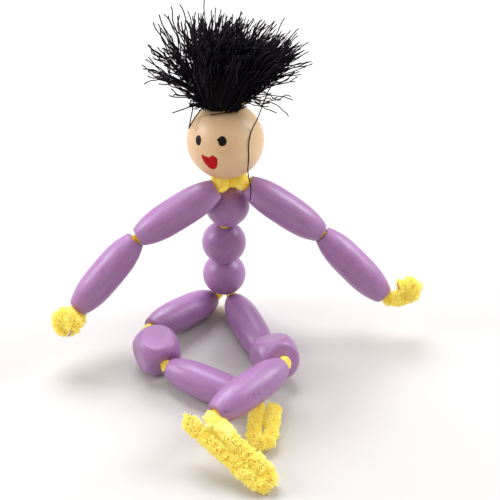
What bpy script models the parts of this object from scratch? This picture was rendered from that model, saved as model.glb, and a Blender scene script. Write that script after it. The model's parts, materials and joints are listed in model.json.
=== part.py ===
# A bendy doll: wooden beads threaded on fuzzy chenille stems, with a tuft of sewing thread
# for hair. It sits cross-legged. Z is up, the doll looks towards -Y and its left side in
# the picture is -X. Each body hangs from an empty on its bend, whose local Z is the axis.

import math
import random

import bmesh
import bpy
from mathutils import Matrix, Vector

mm = 0.001

# Beads: the round ones are ground flat round the mouth of the bore
bore_diameter = 3.0 * mm
mouth_land = 0.4 * mm
head_diameter = 20.8 * mm
torso_bead_diameter = 12.5 * mm
oval_length = 25.0 * mm
oval_diameter = 9.5 * mm
oval_end_diameter = 5.4 * mm
oval_fullness = 3
knee_ball_diameter = 13.4 * mm
knee_across_flats = 10.8 * mm
bead_sides = 22
head_sides = 32

# Chenille stem: squeezed thin inside a bore, fluffed out where it is free
running_gap = 0.3 * mm
core_diameter = bore_diameter - 2 * running_gap
fluff_diameter = 3.6 * mm
foot_fluff_diameters = {"left": 3.8 * mm, "right": 3.4 * mm}
collar_fluff_diameter = 2.9 * mm
wire_diameter = 0.8 * mm
wire_bare_length = 1.6 * mm
strand_gap = 0.45 * mm
stem_reach_in_bore = 3.0 * mm
tube_sides = 8

# Gaps between beads: a bend turns on the inner rim of the two mouths
bend_clearance = 0.16 * mm
bend_handle_share = 0.4
bend_steps = 6
oval_rim = oval_end_diameter / 2
knee_rim = 2.9 * mm
torso_gap = 0.6 * mm
neck_gap = 4.2 * mm
limb_root_reach = 2.0 * mm

# Seated pose: place of the hip bead, and each bead's axis as (azimuth, elevation) in degrees
hip_place = (-4.69 * mm, 27.27 * mm, 12.65 * mm)
spine_axes = {"hip": (-98, 78), "waist": (-43, 86), "chest": (48, 80), "head": (-161, 84)}
arm_axes = {
    "left": {"upper_arm": (-164, -28), "forearm": (-154, -44)},
    "right": {"upper_arm": (-5, -36), "forearm": (-17, -43)},
}
leg_axes = {
    "left": {"thigh": (-132, 9.5), "knee": (-62, -10), "shin": (-29, -2.5)},
    "right": {"thigh": (-70, 2), "knee": (-62, 26.5), "shin": (-133, 1.2)},
}
knee_rolls = {"left": 0, "right": 0}
# Mouth of each upper arm, from the middle of the neck, and of each thigh, from the hip bead
shoulder_places = {
    "left": (-3.4 * mm, -6.0 * mm, 0.6 * mm),
    "right": (5.0 * mm, -4.2 * mm, 0.7 * mm),
}
thigh_places = {
    "left": (-3.7 * mm, -0.3 * mm, -9.2 * mm),
    "right": (2.7 * mm, -2.4 * mm, -8.3 * mm),
}

# Hair: strands that grow from a knotted plug, tied above the crown
hair_lean = (39, 79)
plug_radius = 2.6 * mm
plug_cut_below_middle = 0.6 * mm
hair_length = 21.5 * mm
hair_length_spread = 3.5 * mm
hair_tip_share = 0.3
hair_bend_share = 0.4
hair_cap_angle = math.radians(58)
hair_fan_share = 0.28
hair_depth_share = 0.75
crown_loop_diameter = 1.6 * mm
crown_loop_length = 7.5 * mm
crown_loop_eye = 1.9 * mm
crown_loop_rise = 2.2 * mm

# Hands and feet
hand_coil_radius = 2.1 * mm
hand_coil_turns = 1.25
hand_coil_gap = 0.7 * mm
hand_coil_axis = (-75, 35)
hand_fold_axis = (10, 5)
hand_fold_length = 5.5 * mm
hand_fold_return = 2.6 * mm
hand_slack = 0.3 * mm
foot_slacks = {"left": 0.5 * mm, "right": 0.6 * mm}
foot_axes = {"left": (-97, -6), "right": (-35, -24)}
foot_lengths = {"left": 10.0 * mm, "right": 19.2 * mm}
foot_returns = {"left": 10.0 * mm, "right": 21.0 * mm}
heel_curl_turn = math.radians(75)
corner_steps = 3
fold_steps = 8

sides_of = {"left": -1, "right": 1}
world = {}


def direction(azimuth, elevation):
    a, e = math.radians(azimuth), math.radians(elevation)
    return Vector((math.cos(e) * math.cos(a), math.cos(e) * math.sin(a), math.sin(e)))


def aim(place, axis, roll=0):
    """A frame at place with local Z along axis and local X level, or near world X."""
    z = axis.normalized()
    steep = abs(z.z) > math.cos(math.radians(20))
    x = Vector((1, 0, 0)) - z * z.x if steep else Vector((0, 0, 1)).cross(z)
    x.normalize()
    frame = Matrix((x, z.cross(x), z)).transposed().to_4x4()
    return Matrix.Translation(place) @ frame @ Matrix.Rotation(math.radians(roll), 4, "Z")


def material(name, color, roughness, metallic=0.0):
    mat = bpy.data.materials.new(name)
    mat.use_nodes = True
    shader = mat.node_tree.nodes["Principled BSDF"]
    shader.inputs["Base Color"].default_value = (*color, 1)
    shader.inputs["Roughness"].default_value = roughness
    shader.inputs["Metallic"].default_value = metallic
    mat.diffuse_color = (*color, 1)
    return mat


def empty(name, frame, parent=None):
    """The pivot that a body hangs from."""
    pivot = bpy.data.objects.new(name, None)
    pivot.empty_display_size = bore_diameter
    bpy.context.collection.objects.link(pivot)
    place(pivot, frame, parent)
    return pivot


def place(obj, frame, parent=None):
    world[obj.name] = frame
    if parent:
        obj.parent = parent
        frame = world[parent.name].inverted() @ frame
    obj.matrix_basis = frame


def finish_mesh(bm, name, mat, frame, parent):
    bmesh.ops.recalc_face_normals(bm, faces=bm.faces)
    mesh = bpy.data.meshes.new(name)
    bm.to_mesh(mesh)
    bm.free()
    mesh.shade_smooth()
    mesh.set_sharp_from_angle(angle=math.radians(35))
    mesh.materials.append(mat)
    obj = bpy.data.objects.new(name, mesh)
    bpy.context.collection.objects.link(obj)
    place(obj, frame, parent)
    return obj


def turned(name, outline, sides, mat, frame, parent):
    """A bead turned about local Z from a closed outline of (radius, height) points."""
    bm = bmesh.new()
    points = [bm.verts.new((radius, 0, height)) for radius, height in outline]
    edges = [bm.edges.new((a, b)) for a, b in zip(points, points[1:] + points[:1])]
    bmesh.ops.spin(
        bm, geom=points + edges, cent=(0, 0, 0), axis=(0, 0, 1), angle=math.tau,
        steps=sides, use_merge=True,
    )
    return finish_mesh(bm, name, mat, frame, parent)


def round_outline(diameter, steps):
    """Half a ball between its two mouths, closed by the wall of the bore."""
    radius = diameter / 2
    mouth = bore_diameter / 2 + mouth_land
    start = math.asin(mouth / radius)
    angles = [start + (math.pi - 2 * start) * i / steps for i in range(steps + 1)]
    outline = [(radius * math.sin(a), radius * math.cos(a)) for a in angles]
    half = radius * math.cos(start)
    return outline + [(bore_diameter / 2, -half), (bore_diameter / 2, half)]


def round_length(diameter):
    return 2 * math.sqrt((diameter / 2) ** 2 - (bore_diameter / 2 + mouth_land) ** 2)


def oval_outline(steps):
    """A long full barrel cut square at both ends, closed by the wall of the bore."""
    half = oval_length / 2
    taper = (oval_diameter - oval_end_diameter) / 2
    outline = []
    for i in range(steps + 1):
        share = math.cos(math.pi * i / steps)
        outline.append((oval_diameter / 2 - taper * abs(share) ** oval_fullness, half * share))
    return outline + [(bore_diameter / 2, -half), (bore_diameter / 2, half)]


def knee_bead(name, mat, frame, parent):
    """A ball ground flat on six sides, bored through two of them."""
    bm = bmesh.new()
    bmesh.ops.create_uvsphere(bm, u_segments=24, v_segments=14, radius=knee_ball_diameter / 2)
    for side in (Vector((1, 0, 0)), Vector((0, 1, 0)), Vector((0, 0, 1))):
        for normal in (side, -side):
            bmesh.ops.bisect_plane(
                bm, geom=bm.verts[:] + bm.edges[:] + bm.faces[:],
                plane_co=normal * knee_across_flats / 2, plane_no=normal, clear_outer=True,
            )
            rim = [edge for edge in bm.edges if edge.is_boundary]
            bmesh.ops.contextual_create(bm, geom=rim)
    bead = finish_mesh(bm, name, mat, frame, parent)
    cutter_bm = bmesh.new()
    bmesh.ops.create_cone(
        cutter_bm, cap_ends=True, segments=16, radius1=bore_diameter / 2,
        radius2=bore_diameter / 2, depth=2 * knee_across_flats,
    )
    cutter = finish_mesh(cutter_bm, name + "_bore_cutter", mat, frame, parent)
    cutter.hide_render = True
    cutter.display_type = "WIRE"
    cut = bead.modifiers.new("bore", "BOOLEAN")
    cut.object = cutter
    cut.solver = "EXACT"
    return bead


def tube(name, route, mat, frame, parent, sides=tube_sides):
    """A stem length swept along a route of (world place, radius) points."""
    inverse = frame.inverted()
    spots = [inverse @ spot for spot, radius in route]
    bm = bmesh.new()
    rings = []
    side = None
    for i, (spot, (_, radius)) in enumerate(zip(spots, route)):
        ahead = spots[min(i + 1, len(spots) - 1)] - spots[max(i - 1, 0)]
        ahead.normalize()
        side = ahead.orthogonal() if side is None else side - ahead * side.dot(ahead)
        side.normalize()
        up = ahead.cross(side)
        ring = []
        for k in range(sides):
            turn = math.tau * k / sides
            out = side * math.cos(turn) + up * math.sin(turn)
            ring.append(bm.verts.new(spot + out * radius))
        rings.append(ring)
    for a, b in zip(rings, rings[1:]):
        for k in range(sides):
            n = (k + 1) % sides
            bm.faces.new((a[k], a[n], b[n], b[k]))
    bm.faces.new(rings[0][::-1])
    bm.faces.new(rings[-1])
    return finish_mesh(bm, name, mat, frame, parent)


def least_gap(route, diameter, reach):
    """Smallest clear gap of a tube to itself, between points more than reach apart along it."""
    spots = [spot for spot, radius in route]
    along = [0]
    for a, b in zip(spots, spots[1:]):
        along.append(along[-1] + (b - a).length)
    return min(
        (spots[i] - spots[j]).length - diameter
        for i in range(len(spots)) for j in range(i) if along[i] - along[j] > reach
    )


def core(name, a, b, trim, parent):
    """The squeezed stem inside one bead, stopping short of the bends at its ends."""
    axis = (b - a).normalized()
    route = [(a + axis * trim[0], core_diameter / 2), (b - axis * trim[1], core_diameter / 2)]
    return tube(name, route, yellow_chenille, aim((a + b) / 2, axis), parent)


def bend_spots(a, a_axis, b, b_axis):
    """Places on a smooth bend that leaves a along its axis and meets b along b's."""
    handle = (b - a).length * bend_handle_share
    spots = []
    for i in range(1, bend_steps):
        t = i / bend_steps
        spot = a * (1 - t) ** 3 + (a + a_axis * handle) * 3 * t * (1 - t) ** 2
        spots.append(spot + (b - b_axis * handle) * 3 * t ** 2 * (1 - t) + b * t ** 3)
    return spots


def bend_stem(name, a, a_axis, b, b_axis, swell, frame, parent, reach=stem_reach_in_bore):
    """The stem that crosses a gap: out of one bore, round the bend and up the next."""
    thin = core_diameter / 2
    route = [(a - a_axis * reach, thin)] if reach else []
    route.append((a, thin))
    for i, spot in enumerate(bend_spots(a, a_axis, b, b_axis)):
        bulge = math.sin(math.pi * (i + 1) / bend_steps) ** 2
        route.append((spot, thin + max(swell - thin, 0) * bulge))
    route += [(b, thin), (b + b_axis * stem_reach_in_bore, thin)]
    return tube(name, route, yellow_chenille, frame, parent)


def next_start(a_end, a_axis, b_axis, rim):
    """Mouth of the next bead on a bend whose pivot is on the inner rim of both mouths."""
    half = a_axis.angle(b_axis) / 2
    middle = (a_axis + b_axis).normalized()
    return a_end + middle * 2 * (bend_clearance * math.cos(half) + rim * math.sin(half))


def rim_pivot(a_end, a_axis, b_axis, rim):
    """Frame of that bend: local Z is the axis that folds the next bead further."""
    inner = (b_axis - a_axis * a_axis.dot(b_axis)).normalized()
    axis = a_axis.cross(b_axis).normalized()
    return aim(a_end + a_axis * bend_clearance + inner * rim, axis)


for old in list(bpy.data.objects):
    bpy.data.objects.remove(old)

lilac_paint = material("lilac_paint", (0.42, 0.20, 0.46), 0.35)
natural_wood = material("natural_wood", (0.72, 0.50, 0.30), 0.5)
yellow_chenille = material("yellow_chenille", (0.95, 0.78, 0.04), 0.9)
black_thread = material("black_thread", (0.015, 0.014, 0.016), 0.7)
steel_wire = material("steel_wire", (0.6, 0.58, 0.55), 0.3, 1.0)

# Spine: hip, waist, chest and head beads, each with its own length of doubled stem
spine_parts = ["hip", "waist", "chest", "head"]
spine_diameters = {
    "hip": torso_bead_diameter, "waist": torso_bead_diameter,
    "chest": torso_bead_diameter, "head": head_diameter,
}
axes = {part: direction(*spine_axes[part]) for part in spine_parts}
starts, ends = {}, {}
for part in spine_parts:
    length = round_length(spine_diameters[part])
    if part == "hip":
        starts[part] = Vector(hip_place) - axes[part] * length / 2
    else:
        gap = neck_gap if part == "head" else torso_gap
        middle = (axes[before] + axes[part]).normalized()
        starts[part] = ends[before] + middle * gap
    ends[part] = starts[part] + axes[part] * length
    before = part

level = Vector((1, 0, 0))
pelvis = empty("pelvis", aim(Vector(hip_place), level))
waist = empty("waist_bend", aim((ends["hip"] + starts["waist"]) / 2, level), pelvis)
chest = empty("chest_bend", aim((ends["waist"] + starts["chest"]) / 2, -level), waist)
neck_middle = (ends["chest"] + starts["head"]) / 2
neck = empty("neck_nod", aim(neck_middle, -level), chest)
head = empty("head_turn", aim((starts["head"] + ends["head"]) / 2, axes["head"]), neck)

carriers = {"hip": pelvis, "waist": waist, "chest": chest, "head": head}
for part in spine_parts:
    diameter = spine_diameters[part]
    sides = head_sides if part == "head" else bead_sides
    mat = natural_wood if part == "head" else lilac_paint
    frame = aim((starts[part] + ends[part]) / 2, axes[part])
    steps = 16 if part == "head" else 10
    turned(part + "_bead", round_outline(diameter, steps), sides, mat, frame, carriers[part])

trim = stem_reach_in_bore + running_gap
core("stem_in_hip", starts["hip"], ends["hip"], (0, trim), pelvis)
core("stem_in_waist", starts["waist"], ends["waist"], (trim, trim), waist)
core("stem_in_chest", starts["chest"], ends["chest"], (trim, trim), chest)
core("stem_in_head", starts["head"], ends["head"], (trim, 0), neck)
for name, low, high, pivot in (
    ("waist_stem", "hip", "waist", waist), ("chest_stem", "waist", "chest", chest),
    ("neck_stem", "chest", "head", neck),
):
    bend_stem(
        name, ends[low], axes[low], starts[high], axes[high], core_diameter / 2,
        world[pivot.name], pivot.parent,
    )

# Collar: the middle of the arm stem, laid round the back of the neck and open in front
neck_axis = (axes["chest"] + axes["head"]).normalized()
collar_radius = core_diameter / 2 + strand_gap + collar_fluff_diameter / 2
collar_steps = 24
collar_ends = {"left": math.radians(205), "right": math.radians(-12)}
neck_frame = aim(neck_middle, neck_axis)


def collar_spot(turn):
    return neck_frame @ Vector((collar_radius * math.cos(turn), collar_radius * math.sin(turn), 0))


collar_route = []
for i in range(collar_steps + 1):
    turn = collar_ends["right"] + (collar_ends["left"] - collar_ends["right"]) * i / collar_steps
    collar_route.append((collar_spot(turn), collar_fluff_diameter / 2))
tube("collar", collar_route, yellow_chenille, neck_frame, chest)

# Crown loop: the fold of the body stem, an eye that the hair is tied through
crown = ends["head"]
crown_frame = aim(crown, axes["head"])
loop_radius = crown_loop_diameter / 2
loop_foot = loop_radius + strand_gap / 2
loop_low = running_gap + loop_radius
leg_steps, eye_steps = 3, 5


def crown_spot(x, y, z):
    return crown_frame @ Vector((x, y, z))


eye_place = crown_loop_length - crown_loop_eye
half_plan = []
for i in range(leg_steps):
    share = i / leg_steps
    half_plan.append((eye_place * share, loop_foot + (crown_loop_eye - loop_foot) * share))
for i in range(eye_steps + 1):
    turn = math.pi / 2 * (1 - i / eye_steps)
    half_plan.append((eye_place + crown_loop_eye * math.cos(turn), crown_loop_eye * math.sin(turn)))
loop_plan = [(out, -across) for out, across in half_plan] + half_plan[-2::-1]
loop_route = []
for out, across in loop_plan:
    height = loop_low + crown_loop_rise * (out / crown_loop_length) ** 2
    loop_route.append((crown_spot(out, across, height), loop_radius))
tube("crown_loop", loop_route, yellow_chenille, crown_frame, neck)


def hair_tuft(name, frame, parent):
    """A ball-topped plug whose upper faces each grow into a thin three-sided strand."""
    bm = bmesh.new()
    bmesh.ops.create_icosphere(bm, subdivisions=4, radius=plug_radius)
    bmesh.ops.bisect_plane(
        bm, geom=bm.verts[:] + bm.edges[:] + bm.faces[:],
        plane_co=(0, 0, -plug_cut_below_middle), plane_no=(0, 0, -1), clear_outer=True,
    )
    rim = [edge for edge in bm.edges if edge.is_boundary]
    bmesh.ops.contextual_create(bm, geom=rim)
    dice = random.Random(11)
    up = Vector((0, 0, 1))
    bend_width = 1 - (1 - hair_tip_share) * hair_bend_share
    caps = [face for face in bm.faces if up.angle(face.calc_center_median()) < hair_cap_angle]
    caps.sort(key=lambda face: [round(c / plug_radius, 3) for c in face.calc_center_median()])
    for face in caps:
        out = face.calc_center_median().normalized()
        tilt = up.angle(out)
        swing = up.cross(out).normalized()
        length = hair_length + hair_length_spread * (dice.random() - dice.random())
        for share in (hair_bend_share, 1):
            lean = Matrix.Rotation(tilt * hair_fan_share * share, 3, swing)
            face = bmesh.ops.extrude_discrete_faces(bm, faces=[face])["faces"][0]
            middle = face.calc_center_median()
            way = lean @ out
            way.y *= hair_depth_share
            target = out * plug_radius + way * length * share
            width = 1 - (1 - hair_tip_share) * share
            shrink = width if share < 1 else hair_tip_share / bend_width
            for vert in face.verts:
                vert.co = target + (vert.co - middle) * shrink
    return finish_mesh(bm, name, black_thread, frame, parent)


plug_height = 2 * running_gap + crown_loop_diameter + crown_loop_rise / 4 + plug_cut_below_middle
hair_axis = direction(*hair_lean)
hair_tuft("hair_tuft", aim(crown_spot(0, 0, plug_height), hair_axis), neck)

# Arms: stub of the stem at the shoulder, upper arm, forearm and a hand at the cut end
oval = oval_outline(10)


def threaded_oval(side, part, start, axis, pivot):
    """A bead that can be turned on its stem, and the stem inside it."""
    end = start + axis * oval_length
    middle = aim((start + end) / 2, axis)
    spinner = empty(f"{side}_{part}_bead_turn", middle, pivot)
    turned(f"{side}_{part}_bead", oval, bead_sides, lilac_paint, middle, spinner)
    core(f"{side}_stem_in_{part}", start, end, (trim, trim), pivot)
    return end


hand_pivots = {}
hand_mouths = {}
for side in ("left", "right"):
    sign = sides_of[side]
    upper = direction(*arm_axes[side]["upper_arm"])
    fore = direction(*arm_axes[side]["forearm"])
    mouth = neck_middle + Vector(shoulder_places[side])
    root = mouth - upper * limb_root_reach
    swing = empty(f"{side}_shoulder_swing", aim(root, Vector((0, 0, -sign))), chest)
    across = Vector((0, 0, 1)).cross(upper).normalized()
    raise_ = empty(f"{side}_shoulder_raise", aim(root, -across), swing)
    turn = collar_ends[side]
    tangent = neck_frame.to_3x3() @ Vector((math.sin(turn), -math.cos(turn), 0)) * sign
    first = collar_spot(turn) + tangent * (running_gap + strand_gap)
    bend_stem(
        f"{side}_shoulder_stem", first, tangent, mouth, upper, 0, world[swing.name], swing, 0,
    )
    end = threaded_oval(side, "upper_arm", mouth, upper, raise_)
    start = next_start(end, upper, fore, oval_rim)
    elbow = empty(f"{side}_elbow", rim_pivot(end, upper, fore, oval_rim), raise_)
    bend_stem(f"{side}_elbow_stem", end, upper, start, fore, 0, world[elbow.name], raise_)
    end = threaded_oval(side, "forearm", start, fore, elbow)
    across = Vector((0, 0, 1)).cross(fore).normalized()
    wrist_place = end + fore * (bend_clearance + fluff_diameter / 2)
    hand_pivots[side] = empty(f"{side}_wrist", aim(wrist_place, across), elbow)
    hand_mouths[side] = (end, fore)

fluff = fluff_diameter / 2


def folded_end(mouth, axis, heading, beside, radius, slack, out_length, back_length, curl=0):
    """The free end of a stem: out of the mouth, round into its heading, folded back beside."""
    corner = mouth + axis * (slack + radius)
    route = [(mouth + axis * running_gap, core_diameter / 2)]
    for i in range(1, corner_steps + 1):
        share = i / corner_steps
        turn = math.pi / 2 * share
        spot = mouth + axis * (slack + radius * math.sin(turn))
        spot += heading * radius * (1 - math.cos(turn))
        route.append((spot, core_diameter / 2 + (radius - core_diameter / 2) * share))
    far = corner + heading * out_length
    route += [(corner + heading * (radius + (out_length - radius) / 2), radius), (far, radius)]
    half = radius + strand_gap / 2
    for i in range(1, fold_steps):
        turn = math.pi * i / fold_steps
        spot = far + beside * half * (1 - math.cos(turn)) + heading * half * math.sin(turn)
        route.append((spot, radius))
    back = far + beside * 2 * half
    near = back - heading * back_length
    route += [(back, radius), ((back + near) / 2, radius), (near, radius)]
    if curl:
        for i in range(1, corner_steps + 1):
            turn = curl * i / corner_steps
            spot = near - beside * half * (1 - math.cos(turn)) - heading * half * math.sin(turn)
            route.append((spot, radius))
    return route


def report_gap(name, route, diameter):
    gap = least_gap(route, diameter, 2 * diameter)
    print(f"{name}: least clear gap to itself {gap / mm:.2f} mm")


# Left hand: the cut end curled into a small coil that faces the front
end, fore = hand_mouths["left"]
coil_axis = direction(*hand_coil_axis)
coil_axis = (coil_axis - fore * coil_axis.dot(fore)).normalized()
coil_pitch = fluff_diameter + hand_coil_gap
inward = (fore - coil_axis * fore.dot(coil_axis)).normalized()
tangent = coil_axis.cross(inward)
coil_middle = end + fore * (running_gap + fluff + hand_coil_radius)
coil_steps = 20
route = [(end + fore * running_gap, core_diameter / 2)]
for i in range(coil_steps + 1):
    turn = math.tau * hand_coil_turns * i / coil_steps
    around = -inward * math.cos(turn) + tangent * math.sin(turn)
    climb = coil_pitch * hand_coil_turns * i / coil_steps
    radius = fluff if i else (fluff + core_diameter / 2) / 2
    route.append((coil_middle + around * hand_coil_radius + coil_axis * climb, radius))
report_gap("left hand", route[1:], fluff_diameter)
tube("left_hand", route, yellow_chenille, world["left_wrist"], hand_pivots["left"])

# Right hand: the cut end folded back on itself
end, fore = hand_mouths["right"]
heading = direction(*hand_fold_axis)
beside = heading.cross(Vector((0, 1, 0))).normalized()
route = folded_end(
    end, fore, heading, beside, fluff, hand_slack, hand_fold_length, hand_fold_return,
)
report_gap("right hand", route, fluff_diameter)
tube("right_hand", route, yellow_chenille, world["right_wrist"], hand_pivots["right"])

# Legs: strand at the hip, thigh, faceted knee, shin and a foot
for side in ("left", "right"):
    foot_fluff = foot_fluff_diameters[side] / 2
    thigh = direction(*leg_axes[side]["thigh"])
    knee = direction(*leg_axes[side]["knee"])
    shin = direction(*leg_axes[side]["shin"])
    mouth = Vector(hip_place) + Vector(thigh_places[side])
    root = mouth - thigh * limb_root_reach
    spread = empty(f"{side}_hip_spread", aim(root, Vector((0, 0, 1))), pelvis)
    across = Vector((0, 0, 1)).cross(thigh).normalized()
    lift = empty(f"{side}_hip_lift", aim(root, -across), spread)
    below = starts["hip"] - axes["hip"] * running_gap
    first = below + level * sides_of[side] * (core_diameter + strand_gap) / 2
    bend_stem(
        f"{side}_hip_stem", first, -axes["hip"], mouth, thigh, 0, world[spread.name], spread, 0,
    )
    end = threaded_oval(side, "thigh", mouth, thigh, lift)
    start = next_start(end, thigh, knee, knee_rim)
    upper_bend = empty(f"{side}_knee_upper", rim_pivot(end, thigh, knee, knee_rim), lift)
    half = thigh.angle(knee) / 2
    fat = knee_rim * math.sin(half) + bend_clearance * math.cos(half) - running_gap
    bend_stem(f"{side}_knee_upper_stem", end, thigh, start, knee, fat, world[upper_bend.name], lift)
    end = start + knee * knee_across_flats
    middle = aim((start + end) / 2, knee, knee_rolls[side])
    spinner = empty(f"{side}_knee_bead_turn", middle, upper_bend)
    knee_bead(f"{side}_knee_bead", lilac_paint, middle, spinner)
    core(f"{side}_stem_in_knee", start, end, (trim, trim), upper_bend)
    start = next_start(end, knee, shin, knee_rim)
    lower_bend = empty(f"{side}_knee_lower", rim_pivot(end, knee, shin, knee_rim), upper_bend)
    half = knee.angle(shin) / 2
    fat = knee_rim * math.sin(half) + bend_clearance * math.cos(half) - running_gap
    bend_stem(f"{side}_knee_lower_stem", end, knee, start, shin, fat, world[lower_bend.name], upper_bend)
    end = threaded_oval(side, "shin", start, shin, lower_bend)
    heading = direction(*foot_axes[side])
    ankle_place = end + shin * (foot_slacks[side] + foot_fluff)
    ankle = empty(f"{side}_ankle", aim(ankle_place, shin.cross(heading)), lower_bend)
    if side == "left":
        beside, curl = Vector((0, 0, 1)).cross(heading).normalized(), 0
    else:
        beside, curl = heading.cross(Vector((0, -1, 1))).normalized(), heel_curl_turn
    route = folded_end(
        end, shin, heading, beside, foot_fluff, foot_slacks[side], foot_lengths[side],
        foot_returns[side], curl,
    )
    report_gap(f"{side} foot", route, foot_fluff_diameters[side])
    tube(f"{side}_foot", route, yellow_chenille, world[ankle.name], ankle)
    if side == "right":
        tip, before_tip = route[-1][0], route[-2][0]
        out = (tip - before_tip).normalized()
        wire_ends = (tip + out * running_gap, tip + out * wire_bare_length)
        wire_route = [(spot, wire_diameter / 2) for spot in wire_ends]
        tube("right_foot_wire_tip", wire_route, steel_wire, world[ankle.name], ankle)
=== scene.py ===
# A bendy doll of painted wooden beads on fuzzy chenille stems, sitting cross-legged.

import json
import math
import random

import bmesh
import bpy
from mathutils import Matrix, Vector, noise


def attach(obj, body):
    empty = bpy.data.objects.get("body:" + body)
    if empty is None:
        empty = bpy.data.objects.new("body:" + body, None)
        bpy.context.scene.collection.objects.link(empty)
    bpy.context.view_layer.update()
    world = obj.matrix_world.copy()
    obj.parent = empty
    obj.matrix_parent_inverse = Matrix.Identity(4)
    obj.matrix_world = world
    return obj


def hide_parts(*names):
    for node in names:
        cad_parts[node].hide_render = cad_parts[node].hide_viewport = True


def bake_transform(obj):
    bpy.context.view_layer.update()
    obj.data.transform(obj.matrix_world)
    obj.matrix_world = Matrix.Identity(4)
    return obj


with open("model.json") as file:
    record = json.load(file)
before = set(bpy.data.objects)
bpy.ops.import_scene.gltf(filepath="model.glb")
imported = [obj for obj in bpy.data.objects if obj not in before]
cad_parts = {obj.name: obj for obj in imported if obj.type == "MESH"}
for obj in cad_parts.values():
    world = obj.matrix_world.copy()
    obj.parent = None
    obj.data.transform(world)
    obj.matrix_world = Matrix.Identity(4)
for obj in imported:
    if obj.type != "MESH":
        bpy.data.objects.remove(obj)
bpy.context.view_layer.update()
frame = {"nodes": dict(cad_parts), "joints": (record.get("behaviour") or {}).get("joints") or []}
joints = {joint["name"]: joint for joint in frame["joints"]}
mm = 0.001

# The noise that stirs the pile and the hair starts from one place, so that runs agree.
noise.seed_set(7)

# The view: the camera stands in front of the doll and looks down on its folded legs.
# The picture is square, and its middle falls between the hip bead and the chest.
view_place = Vector((0.00281, -0.23213, 0.20848))
view_target = Vector((0.00281, 0.02727, 0.02103))
view_data = bpy.data.cameras.new("view")
view_data.sensor_width = 36
view_data.lens = 80.27
view_data.clip_start, view_data.clip_end = 0.01, 10
view = bpy.data.objects.new("view", view_data)
view.location = view_place
view.rotation_mode = "QUATERNION"
view.rotation_quaternion = (view_target - view_place).to_track_quat("-Z", "Y")
bpy.context.scene.collection.objects.link(view)
bpy.context.scene.camera = view


# Torso beads: three beech balls, turned, ground flat round the bore and dipped in lilac
# paint. The paint is satin, thin on the rims, and shows the grain as faint long streaks.
class Socket:
    """A shader value. Sums and products of it add their own Math nodes."""

    def __init__(self, finish, link):
        self.finish, self.link = finish, link

    def maths(self, operation, a, b=0.0):
        return self.finish.node("ShaderNodeMath", {"operation": operation}, {0: a, 1: b})

    def __add__(self, other):
        return self.maths("ADD", self, other)

    def __sub__(self, other):
        return self.maths("SUBTRACT", self, other)

    def __rsub__(self, other):
        return self.maths("SUBTRACT", other, self)

    def __mul__(self, other):
        return self.maths("MULTIPLY", self, other)

    __radd__, __rmul__ = __add__, __mul__


class Finish:
    """A surface finish, with one method that adds any node to it."""

    def __init__(self, name, **values):
        self.material = bpy.data.materials.new(name)
        self.material.use_nodes = True
        self.tree = self.material.node_tree
        self.shader = self.tree.nodes["Principled BSDF"]
        for socket, value in values.items():
            socket = socket.replace("_", " ").title().replace("Ior", "IOR")
            self.shader.inputs[socket].default_value = value

    def node(self, kind, settings, sockets, out=0):
        node = self.tree.nodes.new(kind)
        stops = settings.pop("stops", None)
        for key, value in settings.items():
            setattr(node, key, value)
        if stops:
            ramp = node.color_ramp
            while len(ramp.elements) < len(stops):
                ramp.elements.new(0.5)
            for element, (place, colour) in zip(ramp.elements, stops):
                element.position = place
                element.color = colour if isinstance(colour, tuple) else (colour,) * 3 + (1,)
        for key, value in sockets.items():
            self.join(node.inputs[key], value)
        return Socket(self, node.outputs[out])

    def join(self, socket, value):
        if isinstance(value, Socket):
            self.tree.links.new(value.link, socket)
        else:
            socket.default_value = value

    def wear(self, **sockets):
        for socket, value in sockets.items():
            self.join(self.shader.inputs[socket.replace("_", " ").title()], value)

    def own(self, attribute, out="Vector"):
        return self.node("ShaderNodeAttribute", {"attribute_name": attribute}, {}, out)

    def stretched(self, vector, scale):
        return self.node("ShaderNodeMapping", {}, {"Vector": vector, "Scale": scale})

    def noise(self, vector, scale, detail=3.0, roughness=0.5):
        sockets = {"Vector": vector, "Scale": scale, "Detail": detail, "Roughness": roughness}
        return self.node("ShaderNodeTexNoise", {}, sockets, "Fac")

    def ramp(self, value, *stops):
        return self.node("ShaderNodeValToRGB", {"stops": stops}, {"Fac": value}, "Color")

    def mix(self, share, a, b):
        return self.node("ShaderNodeMix", {"data_type": "RGBA"}, {0: share, 6: a, 7: b}, 2)

    def bump(self, height, strength, distance):
        sockets = {"Height": height, "Strength": strength, "Distance": distance}
        self.wear(normal=self.node("ShaderNodeBump", {}, sockets))


# The pits in the paint of the right shin: where each is in the attribute turned, and how
# wide. That bead's seed is 10, which puts its middle at (310, -170, 0) there.
paint_pits = (
    ((312.63, -168.25, 11.47), 0.45),
    ((314.03, -167.54, 2.6), 0.5),
    ((314.29, -168.0, 1.0), 0.4),
)


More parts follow.
